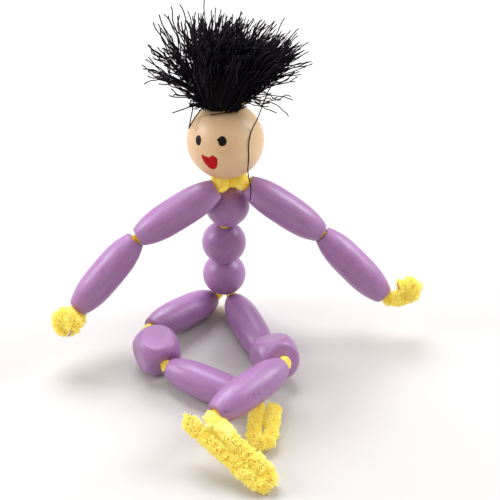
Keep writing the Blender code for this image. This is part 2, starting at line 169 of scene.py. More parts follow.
def lilac_finish():
    """Satin lilac paint over beech. The attribute turned is the place on the bead, in mm."""
    dark_lilac, light_lilac = (0.310, 0.134, 0.315, 1), (0.390, 0.183, 0.410, 1)
    cloudy_lilac, rubbed_lilac = (0.41, 0.205, 0.470, 1), (0.46, 0.28, 0.42, 1)
    nick_brown, pit_brown = (0.10, 0.035, 0.075, 1), (0.16, 0.055, 0.12, 1)
    paint = Finish("lilac_paint", coat_weight=0.4, coat_roughness=0.37)
    place = paint.own("turned")
    wear = paint.own("wear", "Fac")
    grain = paint.noise(paint.stretched(place, (2.2, 2.2, 0.16)), 1.0, 4.0, 0.6)
    mottle = paint.noise(place, 0.28, 2.0)
    fleck = paint.noise(place, 2.6, 2.0, 0.6)
    streak = paint.ramp(grain, (0.28, 0.0), (0.72, 1.0))
    base = paint.mix(streak, dark_lilac, light_lilac)
    cloud = paint.ramp(mottle, (0.3, 0.0), (0.7, 1.0))
    base = paint.mix(cloud * 0.45, base, cloudy_lilac)
    nick = paint.ramp(fleck * 0.8 + grain * 0.2, (0.255, 1.0), (0.275, 0.0))
    base = paint.mix(nick * 0.75, base, nick_brown)
    rub = paint.ramp(wear * 0.9 + fleck * 0.7, (1.02, 0.0), (1.22, 1.0))
    base = paint.mix(rub * 0.35, base, rubbed_lilac)
    brushed = paint.noise(paint.stretched(place, (1.4, 1.4, 0.3)), 1.0, 3.0)
    sheen = paint.ramp(brushed, (0.3, 0.0), (0.7, 1.0))
    depth = 1 - nick
    for pit, size in paint_pits:
        settings, sockets = {"operation": "DISTANCE"}, {0: place, 1: pit}
        away = paint.node("ShaderNodeVectorMath", settings, sockets, "Value")
        dent = paint.ramp(away, (size * 0.45, 1.0), (size, 0.0))
        base = paint.mix(dent * 0.6, base, pit_brown)
        depth = depth - dent * 2.0
    paint.wear(base_color=base, roughness=sheen * 0.16 + 0.34)
    paint.bump(grain * 0.6 + fleck * 0.25 + depth * 0.3, 0.35, 0.00012)
    return paint.material


def aim(place, axis):
    """A frame at place with local Z along axis and local X level, or near world X."""
    z = axis.normalized()
    steep = abs(z.z) > math.cos(math.radians(20))
    x = Vector((1, 0, 0)) - z * z.x if steep else Vector((0, 0, 1)).cross(z)
    x.normalize()
    turn = Matrix((x, z.cross(x), z)).transposed().to_4x4()
    return Matrix.Translation(place) @ turn


def node_middle(node):
    """The mean of a node's points, which is the middle of a turned bead."""
    points = [vert.co for vert in frame["nodes"][node].data.vertices]
    return sum(points, Vector()) / len(points)


def stem_axis(node):
    """The direction of a straight stem inside a bead, from its lower end to its upper."""
    more_than_stem_width = 2.6 * mm
    points = [vert.co for vert in frame["nodes"][node].data.vertices]
    low = min(points, key=lambda point: point.z)
    lower = [point for point in points if (point - low).length < more_than_stem_width]
    upper = [point for point in points if (point - low).length >= more_than_stem_width]
    return (sum(upper, Vector()) / len(upper) - sum(lower, Vector()) / len(lower)).normalized()


def link_mesh(bm, name, finish, body, smooth=True, sharp=None):
    mesh = bpy.data.meshes.new(name)
    bm.to_mesh(mesh)
    bm.free()
    if smooth:
        mesh.shade_smooth()
    if sharp:
        mesh.set_sharp_from_angle(angle=math.radians(sharp))
    mesh.materials.append(finish)
    piece = bpy.data.objects.new(name, mesh)
    bpy.context.scene.collection.objects.link(piece)
    if body:
        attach(piece, body)
    return piece


def mark_turned(bm, frame_at, seed, rim_height, rim_radius):
    """Notes each point's place on its bead in mm, and how near it is to a worn rim."""
    turned = bm.verts.layers.float_vector.new("turned")
    wear = bm.verts.layers.float.new("wear")
    for vert in bm.verts:
        x, y, z = (c / mm for c in vert.co)
        vert[turned] = (x + 31 * seed, y - 17 * seed, z)
        rim = math.hypot(abs(z) - rim_height / mm, math.hypot(x, y) - rim_radius / mm)
        vert[wear] = math.exp(-((rim / 0.55) ** 2))
    bm.transform(frame_at)


def turned_bead(name, outline, frame_at, finish, body, seed, rim_radius, sides=72):
    """A bead spun about its bore from a closed outline of (radius, height) points."""
    bm = bmesh.new()
    points = [bm.verts.new((radius, 0, height)) for radius, height in outline]
    edges = [bm.edges.new(pair) for pair in zip(points, points[1:] + points[:1])]
    bmesh.ops.spin(
        bm, geom=points + edges, cent=(0, 0, 0), axis=(0, 0, 1), angle=math.tau,
        steps=sides, use_merge=True,
    )
    bmesh.ops.remove_doubles(bm, verts=bm.verts, dist=1e-7)
    bmesh.ops.recalc_face_normals(bm, faces=bm.faces)
    rim_height = max(height for radius, height in outline)
    rims = [
        edge for edge in bm.edges
        if abs(abs(edge.verts[0].co.z) - rim_height) < 1e-6
        and abs(abs(edge.verts[1].co.z) - rim_height) < 1e-6
        and edge.calc_face_angle(0) > math.radians(25)
    ]
    bmesh.ops.bevel(
        bm, geom=rims, offset=rim_bevel, segments=3, profile=0.5, affect="EDGES",
        material=-1, offset_type="OFFSET",
    )
    mark_turned(bm, frame_at, seed, rim_height, rim_radius)
    return link_mesh(bm, name, finish, body, sharp=sharp_edge)


bore_radius = 1.5 * mm
torso_radius = 6.25 * mm
mouth_land = 0.4 * mm
rim_bevel = 0.16 * mm
sharp_edge = 50


def ball_outline(radius, steps):
    """Half a ball between its two ground mouths, closed by the wall of the bore."""
    start = math.asin((bore_radius + mouth_land) / radius)
    outline = []
    for i in range(steps + 1):
        turn = start + (math.pi - 2 * start) * i / steps
        outline.append((radius * math.sin(turn), radius * math.cos(turn)))
    half = radius * math.cos(start)
    return outline + [(bore_radius, -half), (bore_radius, half)]


lilac_paint = lilac_finish()
torso_outline = ball_outline(torso_radius, 40)
bead_axes, bead_middles = {}, {}
for seed, (part, body) in enumerate((("hip", "pelvis"), ("waist", "waist"), ("chest", "chest"))):
    bead_middles[part] = node_middle(part + "_bead")
    bead_axes[part] = stem_axis("stem_in_" + part)
    bead = turned_bead(
        part + "_bead_painted", torso_outline, aim(bead_middles[part], bead_axes[part]),
        lilac_paint, body, seed, bore_radius + mouth_land,
    )
    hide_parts(part + "_bead")

# Arm and leg beads: long ovals cut square at both ends, eight of them, in the same paint.
# Each can be turned on the stem that it is threaded on.
oval_half_length = 12.5 * mm
oval_radius = 4.66 * mm
oval_end_radius = 2.7 * mm
oval_fullness = 3


def oval_outline(steps):
    """A long full barrel cut square at both ends, closed by the wall of the bore."""
    outline = []
    for i in range(steps + 1):
        share = math.cos(math.pi * i / steps)
        radius = oval_radius - (oval_radius - oval_end_radius) * abs(share) ** oval_fullness
        outline.append((radius, oval_half_length * share))
    return outline + [(bore_radius, -oval_half_length), (bore_radius, oval_half_length)]


limb_outline = oval_outline(40)
seed = 3
for side in ("left", "right"):
    for part in ("upper_arm", "forearm", "thigh", "shin"):
        turn = joints[f"{side}_{part}_bead_turn"]
        middle, axis = Vector(turn["pos_m"]), Vector(turn["axis"])
        bead_middles[side, part], bead_axes[side, part] = middle, axis
        bead = turned_bead(
            f"{side}_{part}_bead_painted", limb_outline, aim(middle, axis), lilac_paint,
            f"{side}_{part}_bead", seed, oval_end_radius,
        )
        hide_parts(f"{side}_{part}_bead")
        seed += 1

# Knee beads: a ball ground flat on six sides, so that it is half a cube. The edges of the
# flats are softened by the paint, and the stem runs through two of the flats.
knee_ball_radius = 6.95 * mm
knee_half_flats = 5.4 * mm
knee_edge_sharpness = 60
for side in ("left", "right"):
    turn = joints[f"{side}_knee_bead_turn"]
    middle, axis = Vector(turn["pos_m"]), Vector(turn["axis"])
    bead_middles[side, "knee"], bead_axes[side, "knee"] = middle, axis
    frame_at = aim(middle, axis)
    bm = bmesh.new()
    bmesh.ops.create_icosphere(bm, subdivisions=6, radius=1)
    for vert in bm.verts:
        out = vert.co.normalized()
        total = sum((abs(c) / knee_half_flats) ** knee_edge_sharpness for c in out)
        total = knee_ball_radius ** -knee_edge_sharpness + total
        vert.co = out * total ** (-1 / knee_edge_sharpness)
    knee = link_mesh(bm, f"{side}_knee_bead_painted", lilac_paint, None)
    bm = bmesh.new()
    bmesh.ops.create_cone(
        bm, cap_ends=True, segments=40, radius1=bore_radius, radius2=bore_radius,
        depth=3 * knee_ball_radius,
    )
    drill = link_mesh(bm, "drill", lilac_paint, None)
    cut = knee.modifiers.new("bore", "BOOLEAN")
    cut.object, cut.solver = drill, "EXACT"
    drilled = knee.evaluated_get(bpy.context.evaluated_depsgraph_get())
    bored = bpy.data.meshes.new_from_object(drilled)
    knee.modifiers.clear()
    bpy.data.objects.remove(drill)
    bm = bmesh.new()
    bm.from_mesh(bored)
    mark_turned(bm, frame_at, seed, knee_half_flats, bore_radius)
    bm.to_mesh(knee.data)
    bm.free()
    knee.data.shade_smooth()
    knee.data.set_sharp_from_angle(angle=math.radians(sharp_edge))
    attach(knee, f"{side}_knee_bead")
    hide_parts(f"{side}_knee_bead")
    seed += 1

# Head: a large turned ball of pale natural wood, sanded and left bare, with a face dabbed
# on by hand in black and red paint.
head_radius = 10.4 * mm


def wood_finish():
    """Bare sanded wood with faint rings and fibres along the bore."""
    pale_wood, ring_wood = (0.79, 0.525, 0.29, 1), (0.73, 0.455, 0.24, 1)
    fibre_brown, cream_wood = (0.56, 0.33, 0.18, 1), (0.85, 0.61, 0.37, 1)
    wood = Finish("natural_wood", coat_weight=0.4, coat_roughness=0.35)
    place = wood.own("turned")
    ring = wood.noise(wood.stretched(place, (0.55, 0.16, 0.06)), 1.0, 2.0, 0.4)
    band = wood.node("ShaderNodeMath", {"operation": "PINGPONG"}, {0: ring * 9, 1: 1.0})
    fibre = wood.noise(wood.stretched(place, (3.5, 3.5, 0.22)), 1.0, 3.0, 0.6)
    tone = wood.noise(place, 0.12, 1.0)
    base = wood.mix(band * 0.4, pale_wood, ring_wood)
    base = wood.mix(wood.ramp(fibre, (0.35, 0.0), (0.75, 1.0)) * 0.2, base, fibre_brown)
    base = wood.mix(wood.ramp(tone, (0.35, 0.0), (0.65, 1.0)) * 0.4, base, cream_wood)
    wood.wear(base_color=base, roughness=fibre * 0.15 + 0.42)
    wood.bump(fibre * 0.7 + band * 0.3, 0.2, 0.00008)
    return wood.material


natural_wood = wood_finish()
head_turn = joints["head_turn"]
head_middle, head_axis = Vector(head_turn["pos_m"]), Vector(head_turn["axis"])
head_half = math.sqrt(head_radius ** 2 - (bore_radius + mouth_land) ** 2)
head = turned_bead(
    "head_bead_turned", ball_outline(head_radius, 64), aim(head_middle, head_axis),
    natural_wood, "head", seed, bore_radius + mouth_land, sides=112,
)
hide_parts("head_bead")

# Face: two black dots and a small red mouth, thick paint that stands up a little. Each
# dab is given by its middle on the ball and its outline in mm across that place.
dab_black = (0.004, 0.002, 0.004, 1)
black_dab = Finish("black_dab", base_color=dab_black, roughness=0.5, specular_ior_level=0.2)
black_dab.bump(black_dab.noise(black_dab.own("turned"), 1.6), 0.3, 0.0001)
red_dab = Finish("red_dab", roughness=0.5, specular_ior_level=0.15)
red_tone = red_dab.noise(red_dab.own("turned"), 0.9)
dark_red, bright_red = (0.36, 0.0, 0.002, 1), (0.58, 0.0, 0.006, 1)
red_dab.wear(base_color=red_dab.ramp(red_tone, (0.3, dark_red), (0.7, bright_red)))
red_dab.bump(red_dab.noise(red_dab.own("turned"), 1.4), 0.35, 0.00012)


def dab(name, out, outline, finish, height):
    """A blob of paint on the head: a disc drawn to its outline, then laid on the ball."""
    z = Vector(out).normalized()
    x = Vector((0, 0, 1)).cross(z).normalized()
    y = z.cross(x)
    count, rings = 64, 10
    edge_sink, rim_sink = 0.02 * mm, 0.12 * mm
    corners = outline + outline[:1]
    lengths = [math.dist(a, b) for a, b in zip(corners, corners[1:])]
    total = sum(lengths)
    rim = []
    for i in range(count):
        left = total * i / count
        for a, b, length in zip(corners, corners[1:], lengths):
            if left <= length:
                break
            left -= length
        rim.append((a[0] + (b[0] - a[0]) * left / length, a[1] + (b[1] - a[1]) * left / length))
    for _ in range(2):
        rim = [
            ((p[0] + 2 * q[0] + r[0]) / 4, (p[1] + 2 * q[1] + r[1]) / 4)
            for p, q, r in zip(rim[-1:] + rim[:-1], rim, rim[1:] + rim[:1])
        ]
    cx = sum(p[0] for p in rim) / count
    cy = sum(p[1] for p in rim) / count
    bm = bmesh.new()
    turned = bm.verts.layers.float_vector.new("turned")
    loops = []
    for ring in range(rings + 2):
        share = min((ring + 0.3) / rings, 1)
        sink = rim_sink if ring > rings else 0
        dome = height * (1 - share ** 6) - edge_sink * share ** 6 - sink
        loop = []
        for u, v in rim:
            u, v = cx + (u - cx) * share, cy + (v - cy) * share
            wobble = 1 + 0.05 * noise.noise(Vector((u, v, 0)) * 1.3)
            way = z * head_radius + (x * u + y * v) * mm * wobble
            point = bm.verts.new(head_middle + way.normalized() * (head_radius + dome))
            point[turned] = (u, v, share)
            loop.append(point)
        loops.append(loop)
    for a, b in zip(loops, loops[1:]):
        for i in range(count):
            n = (i + 1) % count
            bm.faces.new((a[i], b[i], b[n], a[n]))
    bm.faces.new(loops[0])
    bm.faces.new(loops[-1][::-1])
    bmesh.ops.recalc_face_normals(bm, faces=bm.faces)
    return link_mesh(bm, name, finish.material, "head", sharp=60)


left_eye = [
    (1.0, 0.38), (1.11, -0.23), (1.0, -0.81), (0.69, -1.23), (0.26, -1.4), (-0.22, -1.28), (-0.64, -0.91),
    (-0.95, -0.37), (-1.07, 0.25), (-0.99, 0.81), (-0.71, 1.22), (-0.27, 1.38), (0.23, 1.28), (0.68, 0.92),
]
right_eye = [
    (-1.36, 0.42), (-0.9, 0.66), (-0.58, 1.05), (-0.07, 1.3), (0.66, 1.25), (1.22, 0.7), (1.45, -0.1),
    (1.2, -0.87), (0.52, -1.4), (-0.21, -1.4), (-0.76, -0.94), (-0.95, -0.24),
]
mouth_rim = [
    (-2.95, 1.3), (-2.0, 1.3), (-1.4, 1.1), (-0.8, 1.3), (-0.27, 0.95), (0.24, 1.55), (0.76, 2.05),
    (1.24, 1.6), (1.8, 1.62), (2.2, 0.95), (2.15, -0.1), (2.0, -1.3), (1.5, -2.4), (0.7, -3.1),
    (0.0, -3.0), (-0.55, -2.6), (-1.15, -2.1), (-1.62, -1.42), (-2.1, -0.78), (-2.45, 0.1),
]
dab("left_eye_dab", (-0.661, -0.651, 0.373), left_eye, black_dab, 0.08 * mm)
dab("right_eye_dab", (-0.071, -0.873, 0.482), right_eye, black_dab, 0.08 * mm)
dab("mouth_dab", (-0.369, -0.927, -0.064), mouth_rim, red_dab, 0.1 * mm)


# Chenille stems: two thin steel wires twisted together with cut yellow yarn between them,
# which stands out as a soft pile. Inside a bore the pile is squeezed flat.
def chenille_finish():
    """Yellow yarn, pale at the tips of its pile, with painted shade in deep ochre at the root and where it
    is squeezed, painted highlight on the lumps and a faint painted glow.
    """
    painted_shade_ochre, warm_yellow = (0.55, 0.28, 0.01, 1), (0.95, 0.68, 0.06, 1)
    tip_yellow, highlight_yellow = (1.0, 0.96, 0.28, 1), (1.0, 1.0, 0.46, 1)
    # Painted glow: the yarn gives off a faint yellow light of its own, in place of light passing through
    # the pile.
    painted_glow_yellow = (1.0, 0.72, 0.08, 1)
    yarn = Finish(
        "yellow_chenille", roughness=0.9, specular_ior_level=0.15, emission_strength=0.1,
        emission_color=painted_glow_yellow,
    )
    # Painted shade: the pile attribute runs from root to tip and stays low where the pile is squeezed, so
    # those places take the ochre.
    depth = yarn.own("pile", "Fac")
    tuft = yarn.own("tuft", "Fac")
    base = yarn.ramp(depth, (0.0, painted_shade_ochre), (0.4, warm_yellow), (1.0, tip_yellow))
    # Painted highlight: the tips of the lumps are mixed towards pale yellow.
    base = yarn.mix(tuft * 0.7, base, highlight_yellow)
    yarn.wear(base_color=base)
    return yarn.material


yellow_chenille = chenille_finish()
wire = Finish("steel_wire", base_color=(0.55, 0.54, 0.52, 1), metallic=1.0)
wire_scratch = wire.noise(wire.node("ShaderNodeTexCoord", {}, {}, "Object"), 2500.0)
wire.wear(roughness=wire_scratch * 0.3 + 0.25)
steel_wire = wire.material
squeezed = 1.25 * mm
core_radius = 0.65 * mm
core_twist = 0.08
broad_lumps, fine_lumps = 1.5 * mm, 0.6 * mm
shortest_strand = 0.05 * mm

# Each strand grows in two lengths: how far out each ends, and its thickness as a share of
# what is below it.
strand_shares = ((0.6, 1.35), (1.0, 0.6))

# Pile lower than this is pressed flat by the floor, and never goes under it.
pressed = 0.4 * mm


def along(route, step):
    """The route's (place, pile radius) points again, evenly spaced on a smooth curve."""
    ends = [route[0]] + route + [route[-1]]
    fine = []
    for (a, ra), (b, rb), (c, rc), (d, rd) in zip(ends, ends[1:], ends[2:], ends[3:]):
        for i in range(24):
            t = i / 24
            spot = b * 2 + (c - a) * t + (a * 2 - b * 5 + c * 4 - d) * t ** 2
            spot += (b * 3 - a - c * 3 + d) * t ** 3
            fine.append((spot / 2, rb + (rc - rb) * t))
    fine.append(route[-1])
    total = sum((b[0] - a[0]).length for a, b in zip(fine, fine[1:]))
    count = max(int(total / step), 2)
    even, walked, k = [fine[0]], 0.0, 0
    for i in range(1, count + 1):
        goal = total * i / count
        while k < len(fine) - 2 and walked + (fine[k + 1][0] - fine[k][0]).length < goal:
            walked += (fine[k + 1][0] - fine[k][0]).length
            k += 1
        a, b = fine[k], fine[k + 1]
        length = max((b[0] - a[0]).length, 1e-9)
        t = min((goal - walked) / length, 1)
        even.append((a[0].lerp(b[0], t), a[1] + (b[1] - a[1]) * t))
    return even


def sweep(bm, spots, radii, sides, twist=0.0):
    """A closed tube through the spots. Gives back its wall faces."""
    rings, side = [], None
    for i, (spot, radius) in enumerate(zip(spots, radii)):
        ahead = (spots[min(i + 1, len(spots) - 1)] - spots[max(i - 1, 0)]).normalized()
        side = ahead.orthogonal() if side is None else side - ahead * side.dot(ahead)
        side.normalize()
        up = ahead.cross(side)
        ring = []
        for k in range(sides):
            turn = math.tau * k / sides + twist * i
            ring.append(bm.verts.new(spot + (side * math.cos(turn) + up * math.sin(turn)) * radius))
        rings.append(ring)
    walls = []
    for a, b in zip(rings, rings[1:]):
        for k in range(sides):
            n = (k + 1) % sides
            walls.append(bm.faces.new((a[k], a[n], b[n], b[k])))
    bm.faces.new(rings[0][::-1])
    bm.faces.new(rings[-1])
    return walls


def chenille(name, route, body=None, sides=26, step=0.135 * mm, seed=1, lump=0.2, wild=0.3):
    """A length of chenille: a thin core whose every face grows into one strand of pile."""
    dice = random.Random(seed)
    route = along(route, step)
    bm = bmesh.new()
    pile = bm.verts.layers.float.new("pile")
    tuft = bm.verts.layers.float.new("tuft")
    spots = [spot for spot, reach in route]
    faces = sweep(bm, spots, [core_radius] * len(spots), sides, core_twist)
    plan = []
    for i, face in enumerate(faces):
        (a, reach), (b, reach_b) = route[i // sides], route[i // sides + 1]
        root = face.calc_center_median()
        out = (root - (a + b) / 2).normalized()
        lumpy = noise.noise(root / broad_lumps)
        lumpy += 0.5 * noise.noise(root / fine_lumps + Vector((9, 0, 0)))
        length = (reach + reach_b) / 2 - core_radius
        length *= 1 + lump * lumpy + 0.15 * dice.uniform(-1, 1)
        # Painted shade: pile squeezed into a narrow gap is marked less free, so it is coloured darker.
        free = max(0.3, min(1.0, 0.3 + (max(reach, reach_b) - squeezed) / (0.35 * mm)))
        lean = Vector([dice.uniform(-1, 1) for _ in range(3)]) * wild
        lean += noise.noise_vector(root / (1.0 * mm)) * 0.7
        lean -= out * lean.dot(out) * 0.6
        # Painted highlight: the lumps that stand out are coloured paler towards their tips.
        painted_highlight = max(0.0, min(1.0, 0.3 + 0.9 * lumpy))
        plan.append((root, out, max(length, shortest_strand), lean, painted_highlight, free))
    for level, thick in strand_shares:
        faces = bmesh.ops.extrude_discrete_faces(bm, faces=faces)["faces"]
        for face, (root, out, length, lean, painted_highlight, free) in zip(faces, plan):
            middle = face.calc_center_median()
            spot = root + out * length * level + lean * length * level ** 2 * 0.8
            for vert in face.verts:
                vert.co = spot + (vert.co - middle) * thick
                if vert.co.z < pressed:
                    vert.co.z = pressed * math.exp(vert.co.z / pressed - 1)
                vert[pile] = level * free
                vert[tuft] = painted_highlight * level * free
    piece = link_mesh(bm, name, yellow_chenille, body, smooth=False)
    return piece


def bend_points(a, a_axis, b, b_axis, thin, fat, inside=1.6 * mm):
    """A stem across a bend, from just inside one mouth to just inside the other."""
    handle = (b - a).length * 0.4
    points = [(a - a_axis * inside, thin), (a - a_axis * inside / 2, thin), (a, thin)]
    for i in range(1, 6):
        t = i / 6
        spot = a * (1 - t) ** 3 + (a + a_axis * handle) * 3 * t * (1 - t) ** 2
        spot += (b - b_axis * handle) * 3 * t ** 2 * (1 - t) + b * t ** 3
        points.append((spot, thin + (fat - thin) * math.sin(math.pi * t)))
    return points + [(b, thin), (b + b_axis * inside / 2, thin), (b + b_axis * inside, thin)]


def bead_ends(part, half):
    middle, axis = bead_middles[part], bead_axes[part]
    return middle - axis * half, middle + axis * half


def bend_pile(node, low, low_axis, high, high_axis, fat, seed, inside=1.6 * mm):
    """Pile on a stem that crosses a bend, from just inside one mouth to just inside the other."""
    route = bend_points(low, low_axis, high, high_axis, squeezed, fat, inside)
    stem = chenille(node + "_pile", route, seed=seed)
    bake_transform(stem)
    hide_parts(node)


def bore_pile(node, low, high, body, seed):
    """The squeezed stem inside one bead."""
    route = [(low.lerp(high, share), squeezed) for share in (0, 0.5, 1)]
    stem = chenille(
        node + "_pile", route, body, sides=10, step=0.4 * mm, seed=seed, lump=0.05, wild=0.1,
    )
    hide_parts(node)


# Body stem: one length doubled, up through the hip, waist, chest and head beads. It shows
# in the hairline gaps of the torso, at the neck, and as a folded eye on the crown.
torso_half = math.sqrt(torso_radius ** 2 - (bore_radius + mouth_land) ** 2)
bead_middles["head"], bead_axes["head"] = head_middle, head_axis
hip_low, hip_high = bead_ends("hip", torso_half)
waist_low, waist_high = bead_ends("waist", torso_half)
chest_low, chest_high = bead_ends("chest", torso_half)
head_low, head_high = bead_ends("head", head_half)
neck_fat = 3.0 * mm
for seed, (name, low, high, below, above, fat, bodies) in enumerate((
    ("waist_stem", hip_high, waist_low, "hip", "waist", squeezed, ("pelvis", "waist")),
    ("chest_stem", waist_high, chest_low, "waist", "chest", squeezed, ("waist", "chest")),
    ("neck_stem", chest_high, head_low, "chest", "head", neck_fat, ("chest", "neck")),
)):
    bend_pile(name, low, bead_axes[below], high, bead_axes[above], fat, 20 + seed)
reach = 1.5 * mm
for seed, (part, body) in enumerate(
    (("hip", "pelvis"), ("waist", "waist"), ("chest", "chest"), ("head", "neck"))
):
    half = head_half if part == "head" else torso_half
    low, high = bead_ends(part, half)
    low += bead_axes[part] * (0 if part == "hip" else reach)
    high -= bead_axes[part] * (0 if part == "head" else reach)
    bore_pile("stem_in_" + part, low, high, body, 30 + seed)

# Collar: the middle of the arm stem, laid round the back of the neck and open in front.
# Its pile is pressed between chest and head, and fills the V between the two arms.
sides_of = {"left": -1, "right": 1}
neck_middle = (chest_high + head_low) / 2
neck_frame = aim(neck_middle, bead_axes["chest"] + head_axis)
collar_radius = 3.1 * mm
collar_fluff = 1.9 * mm
collar_ends = {"left": math.radians(205), "right": math.radians(-12)}
collar_steps = 24


def collar_spot(turn):
    return neck_frame @ Vector((collar_radius * math.cos(turn), collar_radius * math.sin(turn), 0))


collar_route = []
for i in range(collar_steps + 1):
    turn = collar_ends["right"] + (collar_ends["left"] - collar_ends["right"]) * i / collar_steps
    collar_route.append((collar_spot(turn), collar_fluff))
collar = chenille("collar_pile", collar_route, "chest", seed=40)
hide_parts("collar")

# Arm stem: it leaves the collar on each side, runs through both arm beads and bends at
# the elbow. The pile swells where it is free and is squeezed at every mouth.
elbow_fat = squeezed
shoulder_fat = 2.0 * mm
for seed, side in enumerate(("left", "right")):
    turn = collar_ends[side]
    tangent = Vector((math.sin(turn), -math.cos(turn), 0)) * sides_of[side]
    tangent = neck_frame.to_3x3() @ tangent
    first = collar_spot(turn) + tangent * 0.75 * mm
    upper_start, upper_end = bead_ends((side, "upper_arm"), oval_half_length)
    fore_start, fore_end = bead_ends((side, "forearm"), oval_half_length)
    upper, fore = bead_axes[side, "upper_arm"], bead_axes[side, "forearm"]
    bend_pile(
        f"{side}_shoulder_stem", first, tangent, upper_start, upper, shoulder_fat,
        50 + seed,
    )
    bend_pile(
        f"{side}_elbow_stem", upper_end, upper, fore_start, fore, elbow_fat,
        52 + seed,
    )
    bore_pile(
        f"{side}_stem_in_upper_arm", upper_start + upper * reach, upper_end - upper * reach,
        f"{side}_upper_arm", 54 + seed,
    )
    bore_pile(
        f"{side}_stem_in_forearm", fore_start + fore * reach, fore_end - fore * reach,
        f"{side}_forearm", 56 + seed,
    )

# Left hand: the cut end curled into a small coil that faces the front. Right hand: the cut
# end folded back on itself, ragged. Both are tight against the end of the forearm bead.
fluff = 1.8 * mm
mouth_gap = 0.3 * mm
strand_gap = 0.45 * mm
hand_step = 0.125 * mm
wire_radius = 0.2 * mm
wire_sunk = 0.3 * mm
wire_steps = 8


def twisted_wires(name, route, length, body):
    """The two cut wires that stick out of the end of a stem."""
    tip = route[-1][0]
    out = (tip - route[-2][0]).normalized()
    side = out.orthogonal().normalized()
    up = out.cross(side)
    bm = bmesh.new()
    for half_turn in (0, math.pi):
        spots = []
        for i in range(wire_steps + 1):
            turn = half_turn + i * 0.5
            twist = (side * math.cos(turn) + up * math.sin(turn)) * wire_radius
            spots.append(tip + out * (i / wire_steps * length - wire_sunk) + twist)
        sweep(bm, spots, [wire_radius] * len(spots), 10)
    wires = link_mesh(bm, name, steel_wire, body, sharp=sharp_edge)
    return wires


def direction(azimuth, elevation):
    a, e = math.radians(azimuth), math.radians(elevation)
    return Vector((math.cos(e) * math.cos(a), math.cos(e) * math.sin(a), math.sin(e)))


fore = bead_axes["left", "forearm"]
end = bead_middles["left", "forearm"] + fore * oval_half_length
coil_axis = direction(-75, 35)
coil_axis = (coil_axis - fore * coil_axis.dot(fore)).normalized()
tangent = coil_axis.cross(fore)
coil_radius, coil_turns, coil_pitch = 2.1 * mm, 1.25, 4.3 * mm
coil_middle = end + fore * (mouth_gap + fluff + coil_radius)
coil_steps = 20
route = [(end - fore * reach, squeezed), (end + fore * mouth_gap, squeezed)]
for i in range(coil_steps + 1):
    turn = math.tau * coil_turns * i / coil_steps
    around = -fore * math.cos(turn) + tangent * math.sin(turn)
    climb = coil_axis * coil_pitch * coil_turns * i / coil_steps
    route.append((coil_middle + around * coil_radius + climb, fluff * (1.3 - 0.15 * i / coil_steps)))
twisted_wires("left_hand_wires", route, 2.3 * mm, "left_hand")
hand = chenille(
    "left_hand_pile", route, "left_hand", sides=28, step=hand_step, seed=60, lump=0.35, wild=0.4,
)
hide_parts("left_hand")


def folded_end(mouth, axis, heading, beside, radius, slack, out_length, back_length, curl=0):
    """The free end of a stem: out of the mouth, round into its heading, folded back beside."""
    corner = mouth + axis * (slack + radius)
    route = [(mouth - axis * reach, squeezed), (mouth + axis * mouth_gap, squeezed)]
    for i in range(1, 4):
        turn = math.pi / 6 * i
        spot = mouth + axis * (slack + radius * math.sin(turn))
        spot += heading * radius * (1 - math.cos(turn))
        route.append((spot, radius))
    far = corner + heading * out_length
    route += [(corner + heading * (radius + (out_length - radius) / 2), radius), (far, radius)]
    half = radius + strand_gap / 2
    for i in range(1, 8):
        turn = math.pi * i / 8
        spot = far + beside * half * (1 - math.cos(turn)) + heading * half * math.sin(turn)
        route.append((spot, radius))
    back = far + beside * 2 * half
    near = back - heading * back_length
    route += [(back, radius), ((back + near) / 2, radius), (near, radius)]
    for i in range(1, 4 if curl else 1):
        turn = curl * i / 3
        spot = near - beside * half * (1 - math.cos(turn)) - heading * half * math.sin(turn)
        route.append((spot, radius))
    return route


def fuller(route, share):
    return [(spot, radius if radius == squeezed else radius * share) for spot, radius in route]


fore = bead_axes["right", "forearm"]
end = bead_middles["right", "forearm"] + fore * oval_half_length
heading = direction(10, 5)
beside = heading.cross(Vector((0, 1, 0))).normalized()
route = folded_end(
    end, fore, heading, beside, fluff, slack=0.3 * mm, out_length=5.5 * mm, back_length=2.6 * mm,
)
hand = chenille(
    "right_hand_pile", fuller(route, 1.15), "right_hand", sides=28, step=hand_step, seed=61,
    lump=0.42, wild=0.5,
)
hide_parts("right_hand")

# Leg stems: they leave the hip bead below, bend into the thighs, swell in the open bends
# above and under each knee bead, and run on through the shins.
hip_axis = bead_axes["hip"]
below = hip_low - hip_axis * mouth_gap
hip_fat, knee_fat = 1.5 * mm, 1.65 * mm
hip_strand_aside = 1.425 * mm
for seed, side in enumerate(("left", "right")):
    first = below + Vector((sides_of[side] * hip_strand_aside, 0, 0))
    axes = {part: bead_axes[side, part] for part in ("thigh", "knee", "shin")}
    thigh_start, thigh_end = bead_ends((side, "thigh"), oval_half_length)
    knee_start, knee_end = bead_ends((side, "knee"), knee_half_flats)
    shin_start, shin_end = bead_ends((side, "shin"), oval_half_length)
    bend_pile(
        f"{side}_hip_stem", first, -hip_axis, thigh_start, axes["thigh"], hip_fat,
        70 + seed, inside=0.8 * mm,
    )
    bend_pile(
        f"{side}_knee_upper_stem", thigh_end, axes["thigh"], knee_start, axes["knee"], knee_fat,
        72 + seed,
    )
    bend_pile(
        f"{side}_knee_lower_stem", knee_end, axes["knee"], shin_start, axes["shin"], knee_fat,
        74 + seed,
    )
    for part, start, end in (
        ("thigh", thigh_start, thigh_end), ("knee", knee_start, knee_end),
        ("shin", shin_start, shin_end),
    ):
        inset = axes[part] * reach
        bore_pile(f"{side}_stem_in_{part}", start + inset, end - inset, f"{side}_{part}", 76 + seed)

